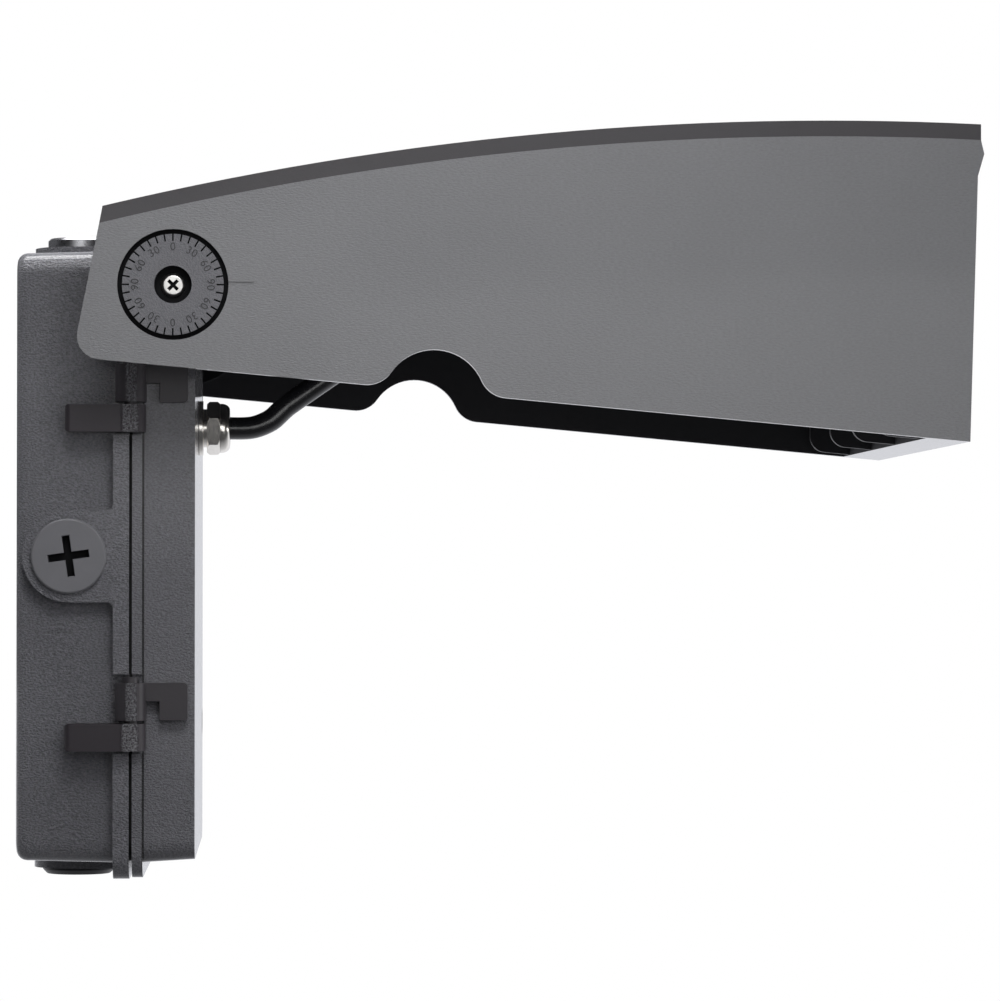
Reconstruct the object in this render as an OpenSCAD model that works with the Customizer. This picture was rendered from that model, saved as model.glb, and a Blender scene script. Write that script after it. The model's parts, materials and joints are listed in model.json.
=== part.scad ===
// Wall pack light with an adjustable head.
// A junction box is fixed to the wall. Its hinged door carries two trunnions, and the lamp
// head turns on them beside two graduated dials. The origin is the centre of the box's back
// face. +X points out of the wall, +Z points up, and the hinges are on the -Y side.

/* [Junction box] */
// Width of the box body at its mouth
box_w = 152; // [144:1:160]
// Height of the box body at its mouth
box_h = 214; // [206:1:226]
// Depth of the box from the wall to its front rim
box_d = 39.5; // [38:0.5:46]
// Thickness of the cast walls
wall = 3; // [2.6:0.1:3.6]
// Outer corner radius of the box
box_corner_r = 8; // [6:0.5:10]
// How much narrower each side of the box is at the wall than at its mouth
box_draft = 0.8; // [0.2:0.1:1.4]
// Radius of the edge round the back of the box
back_edge_r = 3.6; // [1:0.1:4.4]
// Width of the lip around the mouth
lip_w = 5.6; // [4.6:0.1:5.9]
// Thickness of the lip of the box
lip_t = 5.6; // [4.6:0.1:6.4]
// Spacing of the wall screws across the box
wall_screw_y = 100; // [90:1:108]
// Spacing of the wall screws up the box
wall_screw_z = 150; // [140:1:160]
// Radius of the wall screw holes
wall_screw_r = 2.75; // [2.2:0.05:3.2]
// Radius of the wire entry in the back
wire_entry_r = 11.15; // [10:0.05:12]

/* [Conduit entries] */
// Distance of the conduit entries from the wall
entry_x = 18.6; // [18:0.1:20]
// Radius of the bosses round the conduit entries
entry_boss_r = 16.1; // [15:0.1:16.4]
// Radius of the conduit entries
entry_r = 10.5; // [9.6:0.05:11]
// Radius of the plug heads
plug_head_r = 13.05; // [12:0.05:13.6]
// Thickness of the plug heads
plug_head_t = 2.5; // [2:0.1:3]
// Radius of the head of the top plug
top_plug_head_r = 11.5; // [11:0.05:12]
// Thickness of the head of the top plug
top_plug_head_t = 3.8; // [2:0.1:4.2]
// Length of the cross slot in a plug head
plug_slot_l = 14.3; // [12:0.1:16]
// Width of the cross slot in a plug head
plug_slot_w = 2.4; // [2:0.1:3]
// Depth of the cross slot in a plug head
plug_slot_d = 3.4; // [1.2:0.1:4]

/* [Door] */
// Depth of the door from its back rim to its front face
door_d = 21.7; // [20.5:0.1:26]
// Thickness of the lip of the door
door_lip_t = 3.7; // [3:0.1:4.5]
// How far the lip of the door stays inside the lip of the box
door_lip_inset = 0.5; // [0.2:0.1:0.9]
// How much narrower each side of the door is at its front face
door_draft = 1; // [0.4:0.1:1.6]
// Thickness of the gasket between box and door
gasket_t = 1; // [0.8:0.1:1.4]
// Width of the gasket between box and door
gasket_w = 2.4; // [1.8:0.1:2.5]
// Height of the door screws above and below the centre
door_screw_z = 62; // [40:1:70]
// Radius of the door screws
door_screw_r = 2.5; // [2.2:0.1:2.6]
// Radius of the door screw heads
door_screw_head_r = 4.5; // [4:0.1:5]

/* [Hinges] */
// Radius of the hinge barrels
barrel_r = 5.35; // [5:0.05:5.8]
// Radius of the hinge pins
hinge_pin_r = 2.3; // [1.8:0.05:2.6]
// Height at which the upper hinge parts
hinge_top_z = 53.1; // [50:0.1:56]
// Depth below the centre at which the lower hinge parts
hinge_low_z = 57.6; // [50:0.1:62]
// Height of a leaf on the door
leaf_h = 13.1; // [12:0.1:15]
// Height of a lug on the box
lug_h = 9.5; // [8:0.1:11]
// Gap between a leaf and its lug
hinge_gap = 1; // [0.6:0.1:1.4]
// Reach of a lug from the pin towards the wall
lug_reach = 22.6; // [18:0.1:24]
// Reach of a leaf from the pin along the door
leaf_reach = 19.8; // [17:0.1:20.2]

/* [Pivot and dials] */
// Distance of the pivot behind the door's front face
pivot_back = 6.8; // [6:0.1:8]
// Distance of the pivot below the top of the door
pivot_drop = 14.8; // [14.6:0.1:17]
// Radius of the trunnions
trunnion_r = 14; // [12.5:0.1:14.4]
// Radius of the spigots that the head turns on
spigot_r = 9; // [8:0.1:10]
// Radius of the dials
dial_r = 17.25; // [16:0.05:17.8]
// Radial gap round a dial
dial_gap = 1.65; // [1:0.05:2]
// Depth of the dial's seat in the cheek
dial_seat = 3; // [2.6:0.1:3.4]
// Angle between two ticks on a dial
tick_step = 10; // [5:5:30]
// Length of the ticks, which are grooves that run out at the rim
tick_l = 2.4; // [1.5:0.1:3]
// Width of the ticks
tick_w = 0.55; // [0.3:0.05:0.7]
// Radius of the dial screw
dial_screw_r = 2; // [1.5:0.1:2.4]
// Radius of the dial screw's head
dial_screw_head_r = 4; // [3.4:0.1:4.6]

/* [Head] */
// Overall width of the head
head_w = 232; // [228:1:240]
// Thickness of the cheeks
cheek_t = 4; // [3.6:0.1:4.6]
// Thickness of the top cover
cover_t = 5.4; // [4.6:0.1:5.8]
// Radius of the arched top
crown_r = 1074; // [1000:1:1150]
// Distance of the top of the arch ahead of the pivot
crown_x = 229.5; // [222:0.5:232]
// Height of the top of the arch above the pivot
crown_z = 57; // [56:0.1:60]
// Reach of the cheeks behind the pivot at their lower corner
rear_low_x = 34.1; // [32:0.1:36]
// Depth of the cheeks' lower rear corner below the pivot
rear_low_z = 24.7; // [24.5:0.1:26]
// Clearance between the top plug and the rear end of the cover
plug_clear = 1.4; // [1.4:0.1:2.4]
// Radius of the lower rear corner
rear_corner_r = 8; // [6:0.5:10]
// Reach of the head ahead of the pivot at its lower front corner
front_low_x = 272.9; // [268:0.1:280]
// Depth of the lower front corner below the pivot
front_low_z = 53.1; // [51:0.1:55]
// How much further the front reaches at the visor than at its lower corner
front_lean = 2.8; // [1:0.1:3.5]
// How far the visor's nose stands ahead of the front
visor_out = 2.2; // [1.4:0.1:3]
// Distance of the notch ahead of the pivot
notch_x = 89; // [87:0.5:91]
// Depth of the notch's centre below the pivot
notch_z = 39.6; // [38.8:0.1:40.4]
// Radius of the notch
notch_r = 17.7; // [16:0.1:18.5]
// Radius of the round edges beside the notch
notch_edge_r = 10; // [8:0.5:11]
// Width of the pointer groove in the cheek
pointer_w = 1.95; // [1:0.05:2.4]
// Length of the pointer groove in the cheek
pointer_l = 8.6; // [6:0.1:11]

/* [Light engine] */
// Depth of the front frame at its lower edge
frame_d = 14.6; // [12:0.1:16]
// Thickness of the heat sink's base
sink_base_t = 5; // [4.6:0.1:6]
// Length of the fins behind the base
fin_l = 10.4; // [9:0.1:13]
// Number of main ribs on the heat sink
rib_count = 4; // [3:1:5]
// Distance from the middle of the outer ribs to the cheeks
rib_side = 17.5; // [12:0.5:24]
// Thickness of the main ribs
rib_t = 3.5; // [3:0.1:4]
// Thickness of the fine fins
fin_t = 1.6; // [1.2:0.1:2]
// Radius of the lower rear corner of the main ribs
rib_corner_r = 6; // [4:0.5:8]
// Width of the frame on each side of its window
window_side = 15; // [14:0.5:24]
// Height of the frame's window
window_h = 72; // [66:1:74]
// Thickness of the lens
lens_t = 3; // [2.6:0.1:3.2]
// Rows of light sources
led_rows = 3; // [2:1:3]
// Light sources in a row
led_columns = 10; // [6:1:11]
// Radius of the domes over the light sources
dome_r = 6.2; // [5:0.1:6.6]

/* [Cord and gland] */
// Diameter of the cord between door and head
cord_d = 8.2; // [7:0.1:8.4]
// Height of the gland above the centre of the box
gland_z = 47.3; // [46:0.1:49]
// Width of the gland's hexagons across their flats
gland_hex = 17; // [16:0.1:18]
// Radius of the gland's thread
gland_thread_r = 7.5; // [7:0.1:7.8]

/* [Driver] */
// Length of the driver
driver_l = 104; // [90:1:116]
// Width of the driver
driver_w = 60; // [50:1:70]
// Thickness of the driver
driver_t = 22; // [18:0.5:24]

/* [Hidden] */
$fn = 64;

// Clearances and small values
slip = 0.06; // radial clearance of a turning fit
gap = 0.3; // clearance between faces that move past each other
over = 1; // overrun of a cutter past the face it cuts
skin = 0.01; // thickness of the slabs that a drafted body is hulled between
arc_steps = 10;
edge_steps = 5;
crown_steps = 28;
barrel_gap = 0.65;
pin_head_r = 2.75;
pin_head_h = 2;
pad_t = 2;
pad_r = 24;
washer_t = 1;
tick_d = 0.6;
dial_face = 0.3;
ledge_w = 10;
ledge_t = 3;
screw_slot = 1;

casting = [0.27, 0.27, 0.29];
casting_dark = [0.2, 0.19, 0.19];
nickel = [0.78, 0.77, 0.74];
zinc = [0.7, 0.7, 0.72];
black = [0.08, 0.08, 0.09];

door_x = box_d + gasket_t;
front_x = door_x + door_d;
hinge_x = box_d + gasket_t / 2;
hinge_y = -(box_w / 2 + barrel_r + barrel_gap);
pivot_x = front_x - pivot_back;
pivot_z = box_h / 2 - pivot_drop;
cheek_in = head_w / 2 - cheek_t;
rear_top_x = pivot_x - entry_x - top_plug_head_r - plug_clear;
rib_pitch = 2 * (cheek_in - rib_side) / (rib_count - 1);
window_w = 2 * (cheek_in - window_side);
lip_y = box_w / 2 + lip_w;
lip_z = box_h / 2 + lip_w;
post_r = 6;
post_sink = 0.6;
post_y = box_w / 2 - wall - post_r + post_sink;

// Points of an arc round c from angle a0 to a1
function arc(c, r, a0, a1, steps = arc_steps) =
    [for (i = [0:steps]) c + r * [cos(a0 + (a1 - a0) * i / steps), sin(a0 + (a1 - a0) * i / steps)]];
function unit(v) = v / norm(v);
// Points that round the corner p of an outline between its neighbours a and b
function rounded_corner(a, p, b, r, steps = arc_steps) =
    let (
        u = unit(a - p), v = unit(b - p), half = acos(u * v) / 2,
        c = p + unit(u + v) * r / sin(half),
        t0 = p + u * r / tan(half) - c, t1 = p + v * r / tan(half) - c,
        a0 = atan2(t0[1], t0[0]), turn = (atan2(t1[1], t1[0]) - a0 + 540) % 360 - 180
    ) arc(c, r, a0, a0 + turn, steps);
function rounded_rect(w, h, r) = concat(
    arc([w / 2 - r, h / 2 - r], r, 0, 90), arc([r - w / 2, h / 2 - r], r, 90, 180),
    arc([r - w / 2, r - h / 2], r, 180, 270), arc([w / 2 - r, r - h / 2], r, 270, 360));

// Extrudes an outline drawn in Y and Z along +X, from x
module plate_x(x, t) translate([x, 0, 0]) rotate([90, 0, 90]) linear_extrude(t) children();
// Extrudes an outline drawn in X and Z along +Y, from y
module plate_y(y, t) translate([0, y + t, 0]) rotate([90, 0, 0]) linear_extrude(t) children();
module rod_x(x, y, z, r, l) translate([x, y, z]) rotate([0, 90, 0]) cylinder(r = r, h = l);
module rod_y(x, y, z, r, l) translate([x, y, z]) rotate([-90, 0, 0]) cylinder(r = r, h = l);
module mirrored() {
    children();
    mirror([0, 1, 0]) children();
}
module at_pivot() translate([pivot_x, 0, pivot_z]) children();

// A box body whose sides taper evenly between two depths
module drafted(x0, w0, h0, x1, w1, h1, r) hull() {
    plate_x(x0, skin) polygon(rounded_rect(w0, h0, r));
    plate_x(x1 - skin, skin) polygon(rounded_rect(w1, h1, r));
}

// The same body with a rounded edge round its start
module drafted_round(x0, w0, h0, x1, w1, h1, r, edge_r) hull() {
    for (i = [0:edge_steps]) {
        a = 90 * i / edge_steps;
        x = edge_r * (1 - cos(a));
        grow = (w1 - w0) * x / (x1 - x0) - 2 * edge_r * (1 - sin(a));
        plate_x(x0 + x, skin) polygon(rounded_rect(w0 + grow, h0 + grow, r + grow / 2));
    }
    plate_x(x1 - skin, skin) polygon(rounded_rect(w1, h1, r));
}

// Places a feature at the four conduit entries, drawn along +Z
module at_side_entries() for (s = [-1, 1])
    translate([entry_x, s * lip_y, 0]) rotate([-90 * s, 0, 0]) children();
module at_top_entry() translate([entry_x, 0, lip_z]) children();
module at_bottom_entry() translate([entry_x, 0, -lip_z]) rotate([180, 0, 0]) children();
module at_entries() {
    at_side_entries() children();
    at_top_entry() children();
    at_bottom_entry() children();
}

// Both hinges, at the height where leaf and lug part
module at_hinges() for (z = [hinge_top_z, -hinge_low_z]) translate([hinge_x, hinge_y, z]) children();

// Clears the lips of box and door for leaf and lug
module hinge_window(x, t) {
    notch_h = lug_h + leaf_h + pin_head_h + hinge_gap * 3;
    for (z = [hinge_top_z, -hinge_low_z])
        translate([x - over, -lip_y - over, z - lug_h - hinge_gap * 3 / 2])
            cube([t + 2 * over, lip_w + over, notch_h]);
}

// The door screws are on the far side, opposite the hinges
module at_door_screws() for (s = [-1, 1]) translate([0, post_y, s * door_screw_z]) children();

module at_wall_screws() for (sy = [-1, 1], sz = [-1, 1])
    translate([0, sy * wall_screw_y / 2, sz * wall_screw_z / 2]) children();

ground_y = 46;
ground_z = -52;
ground_boss_r = 5;
ground_boss_h = 5;
ground_screw_r = 2;
entry_fillet_r = 2;
entry_rim = box_d - lip_t - entry_x;
// Outline of a boss that runs from a conduit entry to the lip
module entry_boss() {
    circle(r = entry_boss_r);
    translate([0, -entry_boss_r]) square([entry_rim + skin, 2 * entry_boss_r]);
    for (s = [-1, 1]) translate([entry_rim - entry_fillet_r, s * entry_boss_r]) difference() {
        translate([0, -entry_fillet_r]) square([entry_fillet_r + skin, 2 * entry_fillet_r]);
        translate([0, s * entry_fillet_r]) circle(r = entry_fillet_r);
    }
}
module rear_housing() color(casting) difference() {
    union() {
        difference() {
            union() {
                drafted_round(0, box_w - 2 * box_draft, box_h - 2 * box_draft, box_d - lip_t, box_w,
                    box_h, box_corner_r, back_edge_r);
                plate_x(box_d - lip_t, lip_t)
                    polygon(rounded_rect(2 * lip_y, 2 * lip_z, box_corner_r + lip_w / 2));
                at_entries() translate([0, 0, -lip_w - wall / 2])
                    linear_extrude(lip_w + wall / 2) entry_boss();
            }
            plate_x(wall, box_d)
                polygon(rounded_rect(box_w - 2 * wall, box_h - 2 * wall, box_corner_r - wall));
        }
        at_door_screws() rod_x(wall / 2, 0, 0, post_r, box_d - wall / 2);
        rod_x(wall / 2, ground_y, ground_z, ground_boss_r, wall / 2 + ground_boss_h);
    }
    at_entries() translate([0, 0, -lip_w - wall - over]) cylinder(r = entry_r, h = lip_w + wall + 2 * over);
    at_wall_screws() rod_x(-over, 0, 0, wall_screw_r, wall + 2 * over);
    rod_x(-over, 0, 0, wire_entry_r, wall + 2 * over);
    at_door_screws() rod_x(wall, 0, 0, door_screw_r, box_d);
    rod_x(wall, ground_y, ground_z, ground_screw_r, ground_boss_h + over);
    hinge_window(box_d - lip_t, lip_t);
}

module mouth_gasket() color(black) {
    inset = wall - gasket_w;
    plate_x(box_d, gasket_t) difference() {
        polygon(rounded_rect(box_w - 2 * inset, box_h - 2 * inset, box_corner_r - inset));
        polygon(rounded_rect(box_w - 2 * wall, box_h - 2 * wall, box_corner_r - wall));
    }
}

// Outline of a lug or leaf in X and Y, with the pin at the origin
side_slope = box_draft / (box_d - lip_t);
foot_y = -hinge_y - box_w / 2;
function lug_foot(reach) = foot_y + side_slope * max(0, box_d - lip_t - hinge_x + reach);
lug_corner_r = 2;
lug_rim = hinge_x - box_d + lip_t;
hinge_edge_r = 1.4;
// Keeps what lies inside an outline in X and Z with rounded corners on one side
module round_end(x, h) intersection() {
    children();
    plate_y(-2 * barrel_r, 4 * barrel_r) polygon(concat(
        [[-sign(x) * 2 * barrel_r, h], [-sign(x) * 2 * barrel_r, 0]],
        rounded_corner([0, 0], [x, 0], [x, h], hinge_edge_r),
        rounded_corner([x, 0], [x, h], [0, h], hinge_edge_r)));
}
module hinge_lugs() color(casting_dark) at_hinges() translate([0, 0, -hinge_gap / 2 - lug_h])
    difference() {
        round_end(-lug_reach, lug_h) union() {
            cylinder(r = barrel_r, h = lug_h);
            linear_extrude(lug_h) polygon(concat(
                [[0, -barrel_r], [0, 0], [-gasket_t / 2, foot_y], [-lug_rim, foot_y],
                    [-lug_reach, lug_foot(lug_reach)]],
                rounded_corner([-lug_reach, 0], [-lug_reach, -barrel_r], [0, -barrel_r], lug_corner_r)));
        }
        translate([0, 0, -over]) cylinder(r = hinge_pin_r, h = lug_h + 2 * over);
    }

module hinge_pins() color(zinc) at_hinges() {
    translate([0, 0, -hinge_gap / 2 - lug_h]) cylinder(r = hinge_pin_r, h = lug_h + hinge_gap + leaf_h);
    translate([0, 0, hinge_gap / 2 + leaf_h]) cylinder(r = pin_head_r, h = pin_head_h);
}

side_plug_chamfer = 0.5;
top_plug_chamfer = 0.9;
bottom_plug_chamfer = 1.6;
plug_turn = 8;
module plug(head_r, head_t, chamfer) difference() {
    union() {
        translate([0, 0, -lip_w - wall]) cylinder(r = entry_r - slip, h = lip_w + wall);
        cylinder(r = head_r, h = head_t - chamfer);
        translate([0, 0, head_t - chamfer]) cylinder(r1 = head_r, r2 = head_r - chamfer, h = chamfer);
    }
    for (a = [0, 90]) rotate([0, 0, a + plug_turn])
        translate([-plug_slot_l / 2, -plug_slot_w / 2, head_t - plug_slot_d])
            cube([plug_slot_l, plug_slot_w, plug_slot_d + over]);
}
module side_plugs() color(casting) at_side_entries() plug(plug_head_r, plug_head_t, side_plug_chamfer);
module top_plug() color(zinc) at_top_entry()
    plug(top_plug_head_r, top_plug_head_t, top_plug_chamfer);
module bottom_plug() color(black) at_bottom_entry()
    plug(plug_head_r, plug_head_t, bottom_plug_chamfer);

block_w = 14;
block_l = 44;
block_t = 13;
block_y = 46;
block_z = 46;
block_ways = 3;
module terminal_block() color([0.85, 0.84, 0.8]) difference() {
    way = block_l / block_ways;
    translate([wall, -block_y - block_w / 2, block_z - block_l / 2]) cube([block_t, block_w, block_l]);
    for (i = [0:block_ways - 1]) translate([0, -block_y, block_z - block_l / 2 + way * (i + 0.5)]) {
        rod_x(wall + block_t / 2, 0, 0, block_w / 5, block_t);
        translate([wall + block_t / 5, -block_w, -way / 4]) cube([block_t / 4, 2 * block_w, way / 2]);
    }
}

ground_head_r = 4.2;
ground_head_h = 3;
module ground_screw() color([0.2, 0.5, 0.25]) translate([wall + ground_boss_h, ground_y, ground_z])
    difference() {
        union() {
            rod_x(-ground_boss_h, 0, 0, ground_screw_r, ground_boss_h);
            rotate([0, 90, 0]) cylinder(r = ground_head_r, h = ground_head_h, $fn = 6);
        }
        translate([ground_head_h - screw_slot, -ground_head_r - over, -screw_slot / 2])
            cube([screw_slot + over, 2 * (ground_head_r + over), screw_slot]);
    }

// The side of the door falls back evenly from its lip to its front face
door_slope = door_draft / (door_d - door_lip_t);
door_in_w = box_w - 2 * wall - door_draft;
door_in_h = box_h - 2 * wall - door_draft;
gland_hole_gap = 0.1;
driver_foot_h = 3;
driver_x = front_x - wall - driver_foot_h - driver_t;
driver_foot_r = 4.5;
driver_tab_l = 9;
driver_tab_t = 1.6;
driver_screw_r = 1.6;
driver_screw_head_r = 3;
driver_screw_head_h = 2;
hex_share = 1 / cos(30);
// The driver sits midway between the gland's lock nut and the lower wall of the door
driver_mid_z = (gland_z - gland_hex / 2 * hex_share - door_in_h / 2) / 2;
trunnion_root = 18;
trunnion_end_y = cheek_in - pad_t - gap - washer_t;
spigot_end_y = head_w / 2 - dial_seat + gap;
door_head_seat = 4;
module at_driver_screws() for (sy = [-1, 1], sz = [-1, 1])
    translate([0, sy * (driver_w / 2 - driver_tab_l / 2), driver_mid_z + sz * (driver_l + driver_tab_l) / 2])
        children();
module trunnion() at_pivot() {
    rod_y(0, box_w / 2 - trunnion_root, 0, trunnion_r, trunnion_end_y - box_w / 2 + trunnion_root);
    rod_y(0, trunnion_end_y - over, 0, spigot_r, spigot_end_y - trunnion_end_y + over);
}
module door() color(casting) difference() {
    union() {
        difference() {
            union() {
                drafted(door_x + door_lip_t, box_w, box_h, front_x, box_w - 2 * door_draft,
                    box_h - 2 * door_draft, box_corner_r);
                plate_x(door_x, door_lip_t) polygon(rounded_rect(2 * (lip_y - door_lip_inset),
                    2 * (lip_z - door_lip_inset), box_corner_r + lip_w / 2 - door_lip_inset));
            }
            plate_x(door_x - over, door_d - wall + over)
                polygon(rounded_rect(door_in_w, door_in_h, box_corner_r - wall));
        }
        mirrored() trunnion();
        at_door_screws() rod_x(door_x, 0, 0, post_r, door_d - wall / 2);
        at_driver_screws() rod_x(front_x - wall - driver_foot_h, 0, 0, driver_foot_r,
            driver_foot_h + wall / 2);
    }
    at_door_screws() {
        rod_x(door_x - over, 0, 0, door_screw_r + gap, door_d + 2 * over);
        rod_x(front_x - door_head_seat, 0, 0, door_screw_head_r + gap, door_head_seat + over);
    }
    rod_x(front_x - wall - over, 0, gland_z, gland_thread_r + gland_hole_gap, wall + 2 * over);
    at_driver_screws() rod_x(front_x - wall - driver_foot_h - over, 0, 0, driver_screw_r,
        driver_foot_h + wall / 2 + over);
    hinge_window(door_x, door_lip_t);
    mirrored() at_pivot() {
        rod_y(0, spigot_end_y - dial_screw_l, 0, dial_screw_r, dial_screw_l + over);
        rod_y(0, spigot_end_y - hub_l, 0, hub_r + slip, hub_l + over);
    }
}

// Outline of a leaf in X and Y, with the pin at the origin
function leaf_foot(x) = foot_y + door_slope * max(0, hinge_x + x - door_x - door_lip_t);
leaf_strap_t = 4.6;
leaf_notch_x = 5.45;
leaf_notch_l = 4.6;
leaf_notch_h = 6.6;
module hinge_leaves() color(casting_dark) at_hinges() translate([0, 0, hinge_gap / 2]) difference() {
    round_end(leaf_reach, leaf_h) union() {
        cylinder(r = barrel_r, h = leaf_h);
        linear_extrude(leaf_h) polygon([
            [0, foot_y - leaf_strap_t], [leaf_reach, leaf_foot(leaf_reach) - leaf_strap_t],
            [leaf_reach, leaf_foot(leaf_reach)], [door_x + door_lip_t - hinge_x, foot_y],
            [door_x - hinge_x + gap, foot_y]]);
    }
    translate([0, 0, -over]) cylinder(r = hinge_pin_r + slip, h = leaf_h + 2 * over);
    translate([leaf_notch_x, -barrel_r - over, -over])
        cube([leaf_notch_l, 2 * barrel_r + barrel_gap + 2 * over, leaf_notch_h + over]);
}

door_screw_head_h = 3.4;
module door_screws() color(zinc) at_door_screws() difference() {
    union() {
        rod_x(door_x + gap, 0, 0, door_screw_r, door_d - door_head_seat - gap);
        translate([front_x - door_head_seat, 0, 0]) rotate([0, 90, 0])
            cylinder(r = door_screw_head_r, h = door_screw_head_h);
    }
    translate([front_x - door_head_seat + door_screw_head_h - screw_slot, -door_screw_head_r - over,
        -screw_slot / 2])
        cube([screw_slot + over, 2 * (door_screw_head_r + over), screw_slot]);
}

gland_base_r = 9.95;
gland_base_t = 1.6;
gland_neck_t = 1.3;
gland_neck_r = 7;
gland_nut_t = 4.9;
gland_dome_t = 3.5;
gland_dome_r = 9;
gland_nose_r = 6.2;
gland_lock_t = 3.4;
gland_shank_l = 8;
gland_bore_r = cord_d / 2 + 1.2;
gland_nut_x = front_x + gland_base_t + gland_neck_t;
gland_end_x = gland_nut_x + gland_nut_t + gland_dome_t;
gland_turn = 10;
nut_chamfer = 1;
nut_rim = 0.4;
dome_rim_r = gland_nose_r + nut_rim;
module gland_body() color(nickel) translate([0, 0, gland_z]) difference() {
    union() {
        rod_x(front_x - gland_shank_l, 0, 0, gland_thread_r, gland_shank_l + over / 2);
        rod_x(front_x, 0, 0, gland_base_r, gland_base_t);
        rod_x(front_x, 0, 0, gland_neck_r, gland_nut_x + gland_nut_t / 2 - front_x);
    }
    rod_x(front_x - gland_shank_l - over, 0, 0, gland_bore_r, gland_shank_l + gland_end_x - front_x + over);
}
module gland_locknut() color(nickel) translate([front_x - wall - gland_lock_t, 0, gland_z])
    rotate([0, 90, 0]) difference() {
        cylinder(r = gland_hex / 2 * hex_share, h = gland_lock_t, $fn = 6);
        translate([0, 0, -over]) cylinder(r = gland_thread_r + slip, h = gland_lock_t + 2 * over);
    }
module gland_seal() color(black) translate([0, 0, gland_z]) difference() {
    rod_x(gland_nut_x + gland_nut_t / 2, 0, 0, gland_nose_r - slip, gland_nut_t / 2 + gland_dome_t - skin);
    rod_x(gland_nut_x, 0, 0, cord_d / 2 + slip, gland_nut_t + gland_dome_t + over);
}
// A hexagon whose corners are turned off at both ends
module turned_hexagon(flats, t) {
    r = flats / 2 * hex_share;
    intersection() {
        rotate([0, 0, gland_turn]) cylinder(r = r, h = t, $fn = 6);
        rotate_extrude() polygon([[0, 0], [r - nut_chamfer, 0], [r, nut_chamfer], [r, t - nut_chamfer],
            [r - nut_chamfer, t], [0, t]]);
    }
}
module gland_nut() color(nickel) translate([gland_nut_x, 0, gland_z]) rotate([0, 90, 0]) difference() {
    union() {
        turned_hexagon(gland_hex, gland_nut_t);
        translate([0, 0, gland_nut_t]) rotate_extrude() polygon(concat(
            [[0, -skin], [gland_dome_r, -skin]],
            [for (i = [0:arc_steps]) let (a = 90 * i / arc_steps)
                [dome_rim_r + (gland_dome_r - dome_rim_r) * cos(a),
                    nut_rim + (gland_dome_t - nut_rim) * sin(a)]],
            [[0, gland_dome_t]]));
    }
    translate([0, 0, -over]) cylinder(r = gland_neck_r + slip, h = over + gland_nut_t / 2);
    translate([0, 0, gland_nut_t / 2 - skin]) cylinder(r = gland_nose_r, h = gland_nut_t + gland_dome_t);
}

// The cord's route out through the gland, measured from the middle of the gland's hole
cord_from_gland = [
    [-12, 0, 0], [-6, 0, 0], [0, 0, 0], [6, 0, 0], [11.5, 0, 0], [16.2, 0, 0], [19.9, 0, 0.4],
    [23.5, 0, 1.6], [26.8, 0, 3.4], [29.6, 0, 6], [31.1, 0, 7.4], [32.8, 0, 8.8], [41, 0, 14.6]
];
// The rest of its route, up under the cover to the heat sink, measured from the pivot
cord_from_pivot = [
    [57.2, 0, -23.8], [66.6, 0, -17.4], [79.6, 3, -8.2], [94.6, 9, 2.8], [109.6, 16, 13.8],
    [124.6, 21, 24.3], [139.6, 23.2, 32.3], [154.6, 23.6, 37.3], [169.6, 23.6, 39.4],
    [189.6, 23.6, 39.8], [207.6, 23.6, 38.3], [223.6, 23.6, 35.4], [238.6, 23.6, 33],
    [247.6, 23.6, 32.8], [254.8, 23.6, 32.8]
];
cord_route = concat(
    [for (p = cord_from_gland) [front_x, 0, gland_z] + p],
    [for (p = cord_from_pivot) [pivot_x, 0, pivot_z] + p]);
cord_sides = 10;
cord_end = cord_from_pivot[len(cord_from_pivot) - 1];
cord_exit_y = cord_end[1];
cord_exit_z = pivot_z + cord_end[2];
clip_point = 9;
cord_clip_x = pivot_x + cord_from_pivot[clip_point][0];
cord_clip_z = pivot_z + cord_from_pivot[clip_point][2];
function tangent(p, i) = unit(p[min(i + 1, len(p) - 1)] - p[max(i - 1, 0)]);
module swept_cord(p, r, sides) {
    side = [for (i = [0:len(p) - 1]) unit(cross(tangent(p, i), [0, 1, 0]))];
    ring = [for (i = [0:len(p) - 1], k = [0:sides - 1])
        let (t = tangent(p, i), a = side[i], b = cross(t, a), w = 360 * k / sides)
        p[i] + r * (cos(w) * a + sin(w) * b)];
    n = len(p);
    walls = [for (i = [0:n - 2], k = [0:sides - 1])
        let (a = i * sides + k, b = i * sides + (k + 1) % sides, c = b + sides, d = a + sides)
        each [[a, c, b], [a, d, c]]];
    start = [for (k = [1:sides - 2]) [0, k, k + 1]];
    finish = [for (k = [1:sides - 2]) [(n - 1) * sides, (n - 1) * sides + k + 1, (n - 1) * sides + k]];
    polyhedron(points = ring, faces = concat(walls, start, finish));
}
module power_cord() color(black) swept_cord(cord_route, cord_d / 2, cord_sides);

module led_driver() color([0.75, 0.75, 0.77]) difference() {
    union() {
        plate_x(driver_x, driver_t) translate([0, driver_mid_z])
            polygon(rounded_rect(driver_w, driver_l, driver_rim_r));
        plate_x(driver_x + driver_t - driver_tab_t, driver_tab_t) translate([0, driver_mid_z])
            square([driver_w, driver_l + 2 * driver_tab_l], center = true);
    }
    at_driver_screws() rod_x(driver_x, 0, 0, driver_screw_r + slip, driver_t + over);
    for (s = [-1, 1]) translate([driver_x + driver_t / 2, s * driver_w / 2, driver_mid_z])
        cube([driver_t / 2, driver_rim_r, driver_l * 3 / 4], center = true);
}
driver_rim_r = 1.5;
module driver_screws() color(zinc) at_driver_screws() {
    seat = driver_x + driver_t - driver_tab_t;
    rod_x(seat, 0, 0, driver_screw_r, driver_foot_h + driver_tab_t);
    rod_x(seat - driver_screw_head_h, 0, 0, driver_screw_head_r, driver_screw_head_h);
}

dial_screw_l = 12;
dial_screw_head_h = 2;
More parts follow.
